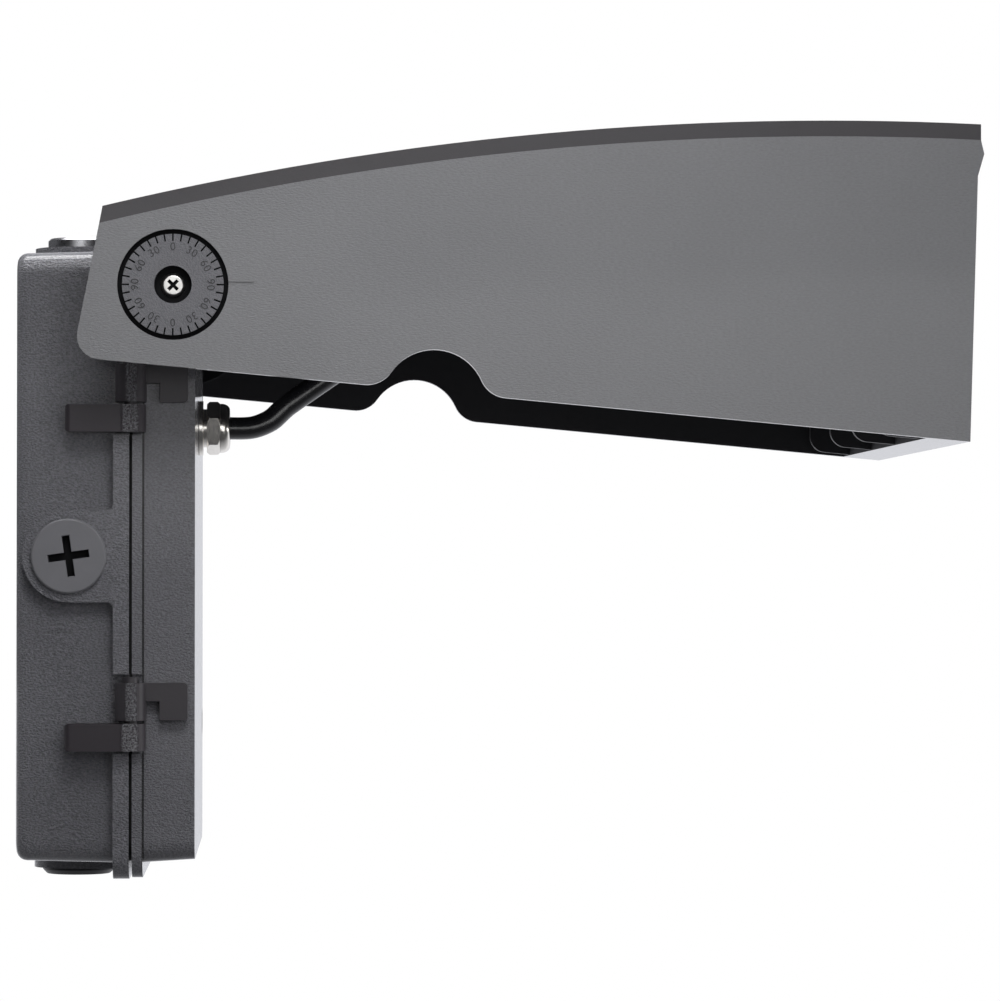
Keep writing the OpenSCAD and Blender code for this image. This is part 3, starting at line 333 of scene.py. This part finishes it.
def link(piece, material):
    """Puts a new piece into the scene with its material."""
    scene.collection.objects.link(piece)
    set_material(piece, material)
    return piece


def smooth(mesh, angle=EDGE_ANGLE):
    """Smooth shading, with the edges sharper than the angle left sharp."""
    mesh.shade_smooth()
    mesh.set_sharp_from_angle(angle=math.radians(angle))


def body_of(node):
    bodies = frame["record"]["behaviour"]["bodies"]
    return next(name for name, nodes in bodies.items() if node in nodes)


def paint_faces(mesh, material, chosen):
    """Gives the faces chosen by their middle in mm and their normal one more material."""
    mesh.materials.append(MATERIALS[material])
    for face in mesh.polygons:
        if chosen(*(c / MM for c in face.center), face.normal):
            face.material_index = len(mesh.materials) - 1


def soften(node, material, width, angle=EDGE_ANGLE, inside=None, pit=None):
    """Stands for a CAD node with the same shape, its flat faces merged and its edges rounded.
    The width of the rounding is in mm. Faces that look the way that inside names get dark painted
    shade for the shadow inside the head, and those that pit finds deep in a groove or well get the
    darkest painted shade."""
    work = bmesh.new()
    work.from_mesh(frame["nodes"][node].data)
    bmesh.ops.remove_doubles(work, verts=work.verts, dist=WELD)
    bmesh.ops.dissolve_limit(work, angle_limit=math.radians(FLAT_ANGLE), verts=work.verts,
                             edges=work.edges)
    mesh = bpy.data.meshes.new(node + "_cast")
    work.to_mesh(mesh)
    work.free()
    smooth(mesh, angle)
    piece = link(bpy.data.objects.new(node + "_cast", mesh), material)
    # Painted shade on the faces that inside and pit choose
    if inside:
        paint_faces(mesh, "inside",
                    lambda x, y, z, normal: normal.dot(Vector(inside)) > 0.6)
    if pit:
        paint_faces(mesh, "pit", pit)
    rounding = piece.modifiers.new("edges", "BEVEL")
    rounding.width = width * MM
    rounding.segments = EDGE_SEGMENTS
    rounding.limit_method = "ANGLE"
    rounding.angle_limit = math.radians(angle)
    rounding.harden_normals = True
    rounding.use_clamp_overlap = True
    rounding.miter_outer = "MITER_SHARP"
    shading = piece.modifiers.new("shading", "WEIGHTED_NORMAL")
    shading.mode = "FACE_AREA"
    shading.weight = 100
    shading.keep_sharp = True
    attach(piece, body_of(node))
    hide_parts(node)


# Places on the light in mm, which tell the faces of its grooves and wells that get painted shade
DIAL_RECESS_R = 19
POINTER_END_R, POINTER_HALF_W = 29, 1.5
CHEEK_FACE, DIAL_FACE, DIAL_SCREW_TOP = 116, 115.7, 113
SCREW_CROSS_R, SCREW_CROSS_D = 2.4, 1.05
PLUG_CROSS_R = 7
# How far below the outer face the middle of a groove's face lies at least
SKIN, TICK_SKIN, PLUG_SKIN = 0.1, 0.25, 0.3
plug_low, plug_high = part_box("side_plugs")
PLUG_X, PLUG_Z = (plug_low.x + plug_high.x) / 2 / MM, (plug_low.z + plug_high.z) / 2 / MM
PLUG_FACE = plug_high.y / MM


def off_pivot(x, z):
    """Distance from the head's axis in mm."""
    return math.hypot(x - PIVOT.x / MM, z - PIVOT.z / MM)


def dial_recess(x, y, z, normal):
    """Faces for painted shade: the recess round the dial, with the upper and front walls of the
    pointer's groove, which the light from above leaves in shadow.
    """
    pointer = (off_pivot(x, z) < POINTER_END_R and abs(z - PIVOT.z / MM) < POINTER_HALF_W
               and abs(normal.y) < 0.5 and (normal.z < -0.5 or normal.x < -0.5))
    return abs(y) < CHEEK_FACE - SKIN and (off_pivot(x, z) < DIAL_RECESS_R or pointer)


def dial_groove(x, y, z, normal):
    """Faces for painted shade: the ticks and the well of a dial."""
    return abs(y) < DIAL_FACE - TICK_SKIN


def screw_cross(x, y, z, normal):
    """Faces for painted shade: the walls and the floor of the cross in a dial screw."""
    wall = off_pivot(x, z) < SCREW_CROSS_R and abs(y) < DIAL_SCREW_TOP - SKIN
    return wall or abs(y) < DIAL_SCREW_TOP - SCREW_CROSS_D


def plug_cross(x, y, z, normal):
    """Faces for painted shade: the cross in a side plug."""
    return abs(y) < PLUG_FACE - PLUG_SKIN and math.hypot(x - PLUG_X, z - PLUG_Z) < PLUG_CROSS_R


soften("rear_housing", "box", 0.6)
soften("door", "door", 0.5)
# The faces inside the head and the front frame's faces toward the back get painted shade
soften("near_cheek", "cheek", 0.5, inside=(0, 1, 0), pit=dial_recess)
soften("far_cheek", "cheek", 0.5, inside=(0, -1, 0), pit=dial_recess)
soften("top_cover", "cover", 0.6, inside=(0, 0, -1))
soften("heat_sink", "sink", 0.3)
soften("front_frame", "frame", 0.4, inside=(-1, 0, 0))
soften("hinge_lugs", "hinge", 0.5)
soften("hinge_leaves", "hinge_leaf", 0.5)
soften("side_plugs", "plug", 0.3, pit=plug_cross)
soften("top_plug", "plug_metal", 0.3)
soften("bottom_plug", "black", 0.3)
soften("near_dial", "dial", 0.15, pit=dial_groove)
soften("far_dial", "dial", 0.15, pit=dial_groove)
soften("dial_screws", "steel", 0.3, angle=50, pit=screw_cross)
soften("gland_nut", "nickel", 0.3)
soften("gland_body", "nickel", 0.2)

for node, material in {
        "mouth_gasket": "rubber", "hinge_pins": "pin", "terminal_block": "terminal",
        "ground_screw": "green", "door_screws": "zinc", "gland_locknut": "nickel",
        "gland_seal": "rubber", "led_driver": "case", "driver_screws": "zinc",
        "pivot_washers": "zinc", "cover_screws": "zinc", "cord_clip": "black",
        "sink_screws": "zinc", "cord_grommet": "rubber", "led_board": "board",
        "optic_plate": "optics", "lens_gasket": "rubber", "lens": "lens",
        "frame_screws": "zinc"}.items():
    set_material(frame["nodes"][node], material)
    smooth(frame["nodes"][node].data)


# ---------------------------------------------------------------- cord
def smooth_path(points, steps):
    """Catmull-Rom run through the points."""
    run = []
    for i in range(len(points) - 1):
        p0 = points[max(i - 1, 0)]
        p1, p2 = points[i], points[i + 1]
        p3 = points[min(i + 2, len(points) - 1)]
        for k in range(steps):
            t = k / steps
            run.append(0.5 * ((2 * p1) + (p2 - p0) * t + (2 * p0 - 5 * p1 + 4 * p2 - p3) * t * t
                              + (3 * p1 - p0 - 3 * p2 + p3) * t ** 3))
    return run + [points[-1]]


def tube(name, path, radius, sides):
    """A closed tube along a path. Its rings keep to the Y axis, which the path never runs along."""
    work = bmesh.new()
    rings = []
    for i, point in enumerate(path):
        ahead = (path[min(i + 1, len(path) - 1)] - path[max(i - 1, 0)]).normalized()
        side = ahead.cross(Vector((0, 1, 0))).normalized()
        across = ahead.cross(side)
        rings.append([work.verts.new(point + radius * (math.cos(a) * side + math.sin(a) * across))
                      for a in (2 * math.pi * k / sides for k in range(sides))])
    for a, b in zip(rings, rings[1:]):
        for k in range(sides):
            work.faces.new((a[k], a[(k + 1) % sides], b[(k + 1) % sides], b[k]))
    work.faces.new(reversed(rings[0]))
    work.faces.new(rings[-1])
    bmesh.ops.recalc_face_normals(work, faces=work.faces)
    mesh = bpy.data.meshes.new(name)
    work.to_mesh(mesh)
    work.free()
    smooth(mesh, CORD_EDGE_ANGLE)
    return bpy.data.objects.new(name, mesh)


route = ([GLAND + Vector(p) * MM for p in CORD_FROM_GLAND]
         + [PIVOT + Vector(p) * MM for p in CORD_FROM_PIVOT])
cord_path = smooth_path(route, CORD_STEPS)
cord = link(tube("cord_jacket", cord_path, CORD_D / 2, CORD_SIDES), "cord")
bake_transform(cord)
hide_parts("power_cord")

# ---------------------------------------------------------------- dial numbers
DIAL_NUMBER_R = 12.8 * MM
DIAL_NUMBER_H = 2.7 * MM
DIAL_NUMBER_OUT = 0.3 * MM
DIAL_NUMBER_STEP = 30
# Height of a numeral as a share of the font's size, and how much its strokes are thinned
NUMERAL_SHARE = 0.7
NUMERAL_OFFSET = -0.04 * MM


def dial_numbers(node, side):
    """Raised numbers round a dial, their tops outward. They run up from 0 to 90 and down again,
    twice round. Side is -1 on the near dial, 1 on the far."""
    low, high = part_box(node)
    face = high.y if side > 0 else low.y
    out = Vector((0, side, 0))
    # Seen from outside, the angle runs clockwise from the top
    right = Vector((-side, 0, 0))
    items = []
    for angle in range(0, 360, DIAL_NUMBER_STEP):
        curve = bpy.data.curves.new("number", "FONT")
        curve.body = str(min(angle % 180, 180 - angle % 180))
        curve.size = DIAL_NUMBER_H / NUMERAL_SHARE
        curve.offset = NUMERAL_OFFSET
        curve.align_x = "CENTER"
        curve.align_y = "CENTER"
        curve.extrude = DIAL_NUMBER_OUT
        curve.space_character = 1.1
        item = bpy.data.objects.new("number", curve)
        scene.collection.objects.link(item)
        turn = math.radians(angle)
        up = math.sin(turn) * right + math.cos(turn) * Vector((0, 0, 1))
        place = PIVOT + DIAL_NUMBER_R * up
        place.y = face
        axes = Matrix((up.cross(out), up, out)).transposed().to_4x4()
        item.matrix_world = Matrix.Translation(place) @ axes
        items.append(item)
    bpy.context.view_layer.update()
    depsgraph = bpy.context.evaluated_depsgraph_get()
    work = bmesh.new()
    for item in items:
        mesh = item.evaluated_get(depsgraph).to_mesh()
        mesh.transform(item.matrix_world)
        work.from_mesh(mesh)
        item.evaluated_get(depsgraph).to_mesh_clear()
    bmesh.ops.remove_doubles(work, verts=work.verts, dist=1e-6)
    mesh = bpy.data.meshes.new(node + "_numbers")
    work.to_mesh(mesh)
    work.free()
    for item in items:
        bpy.data.objects.remove(item)
    # The numbers take dark painted shade
    piece = link(bpy.data.objects.new(node + "_numbers", mesh), "number_shade")
    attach(piece, "door")


dial_numbers("near_dial", -1)
dial_numbers("far_dial", 1)

# ---------------------------------------------------------------- light and floor
FLOOR_Z = -0.2
FLOOR_HALF = 6
FLOOR_WHITE = (0.86, 0.86, 0.87)
# The floor's light on the object, apart from what the camera sees
FLOOR_BOUNCE = (0.06, 0.06, 0.065)
# Distances between which the floor turns to plain white, and how white it is before
FLOOR_FADE, FLOOR_FADE_FROM = (0.22, 0.38), 0.7
# Where the mirrored floor goes from dim in front of the object to bright behind it
FLOOR_MIRROR_Y = (-0.15, 0.25)
# A bright studio wall behind the object and a dim room in front of it. Strengths in front and
# behind, as light on the object and as seen in its reflections
ROOM_LIGHT = (0.015, 0.3)
ROOM_MIRROR = (0.05, 0.85)
ROOM_TINT = (0.94, 0.95, 1, 1)
# Y of the directions between which the room goes from dim to bright
ROOM_Y = (-0.45, 0.05)
# X of the directions between which the left of the mirrored room is dimmed, and to what share
ROOM_LEFT_X, ROOM_LEFT_SHARE = (-0.35, 0.02), 0.1


def blend_shaders(tree, factor, first, second):
    """The second shader where the factor is one, and otherwise the first."""
    node = add(tree, "MixShader", links={"Fac": factor, 1: first, 2: second})
    return node.outputs[0]


def studio_white(name):
    """A pale surface that shows white to the camera. It keeps the object's shadow near the object,
    and gives back less light than it shows, as a floor that is lit apart from the object does."""
    material, tree, shader = new_material(name)
    shader.inputs["Base Color"].default_value = (*FLOOR_WHITE, 1)
    shader.inputs["Roughness"].default_value = 0.9
    shader.inputs["Specular IOR Level"].default_value = 0.1
    path = add(tree, "LightPath")
    place = add(tree, "TexCoord").outputs["Object"]
    reach = add(tree, "VectorMath", links={0: place}, operation="LENGTH")
    glow = add(tree, "Emission", {"Color": (1, 1, 1, 1)})
    shown = blend_shaders(tree, map_range(tree, reach.outputs["Value"], FLOOR_FADE,
                                          (FLOOR_FADE_FROM, 1)),
                          shader.outputs[0], glow.outputs[0])
    split = add(tree, "SeparateXYZ", links={0: place})
    mirrored = add(tree, "Emission", {"Color": ROOM_TINT},
                   {"Strength": map_range(tree, split.outputs["Y"], FLOOR_MIRROR_Y,
                                          ROOM_MIRROR)})
    glossy = blend_shaders(tree, path.outputs["Is Glossy Ray"], shown, mirrored.outputs[0])
    dim = add(tree, "BsdfDiffuse", {"Color": (*FLOOR_BOUNCE, 1)})
    surface = blend_shaders(tree, path.outputs["Is Diffuse Ray"], glossy, dim.outputs[0])
    tree.links.new(surface, tree.nodes["Material Output"].inputs["Surface"])
    return material


floor_mesh = bpy.data.meshes.new("floor")
floor_mesh.from_pydata([(x * FLOOR_HALF, y * FLOOR_HALF, FLOOR_Z)
                        for x, y in ((-1, -1), (1, -1), (1, 1), (-1, 1))], [], [(0, 1, 2, 3)])
floor = bpy.data.objects.new("floor", floor_mesh)
scene.collection.objects.link(floor)
floor.data.materials.append(studio_white("floor_white"))

world = bpy.data.worlds.new("studio")
scene.world = world
world.use_nodes = True
tree = world.node_tree
split = add(tree, "SeparateXYZ", links={0: add(tree, "TexCoord").outputs["Generated"]})


def room(front, back, left=1.0):
    """A room from one strength in front to another behind, the left of it dimmed to a share."""
    level = map_range(tree, split.outputs["Y"], ROOM_Y, (front, back))
    across = map_range(tree, split.outputs["X"], ROOM_LEFT_X, (left, 1))
    both = add(tree, "Math", links={0: level, 1: across}, operation="MULTIPLY")
    node = add(tree, "Background", {"Color": ROOM_TINT}, {"Strength": both.outputs[0]})
    return node.outputs[0]


white = tree.nodes["Background"]
white.inputs["Color"].default_value = (1, 1, 1, 1)
white.inputs["Strength"].default_value = 1
path = add(tree, "LightPath")
seen = add(tree, "Math", links={0: path.outputs["Is Camera Ray"],
                                1: path.outputs["Is Transmission Ray"]}, operation="MAXIMUM")
lit = blend_shaders(tree, path.outputs["Is Glossy Ray"], room(*ROOM_LIGHT),
                    room(*ROOM_MIRROR, ROOM_LEFT_SHARE))
tree.links.new(blend_shaders(tree, seen.outputs[0], lit, white.outputs[0]),
               tree.nodes["World Output"].inputs["Surface"])


def softbox(name, at, to, size, power):
    """A rectangular lamp at a place, turned to another. Its power is in watts."""
    light = bpy.data.lights.new(name, "AREA")
    light.shape = "RECTANGLE"
    light.size, light.size_y = size
    light.energy = power
    lamp = bpy.data.objects.new(name, light)
    scene.collection.objects.link(lamp)
    lamp.location = at
    lamp.rotation_euler = (Vector(to) - Vector(at)).to_track_quat("-Z", "Y").to_euler()


softbox("key", (0.12, -0.5, 0.36), (0.16, -0.1, 0.03), (0.25, 0.2), 1.15)
softbox("front", (0.1, -0.9, 0.25), (0.1, -0.1, 0.05), (0.9, 0.45), 0.8)
softbox("low", (0.25, -0.5, 0.02), (0.05, -0.1, 0.03), (0.3, 0.2), 0.28)
softbox("glint", (0.062, -0.6, 0.08), (0.07, 0, 0.045), (0.12, 0.16), 0.07)
softbox("lens_side", (1.2, -0.2, 0.15), (0.3, 0.0, 0.05), (0.5, 0.5), 3)
softbox("back_top", (0.0, 0.1, 0.8), (0.08, -0.05, 0.0), (0.6, 0.3), 8)
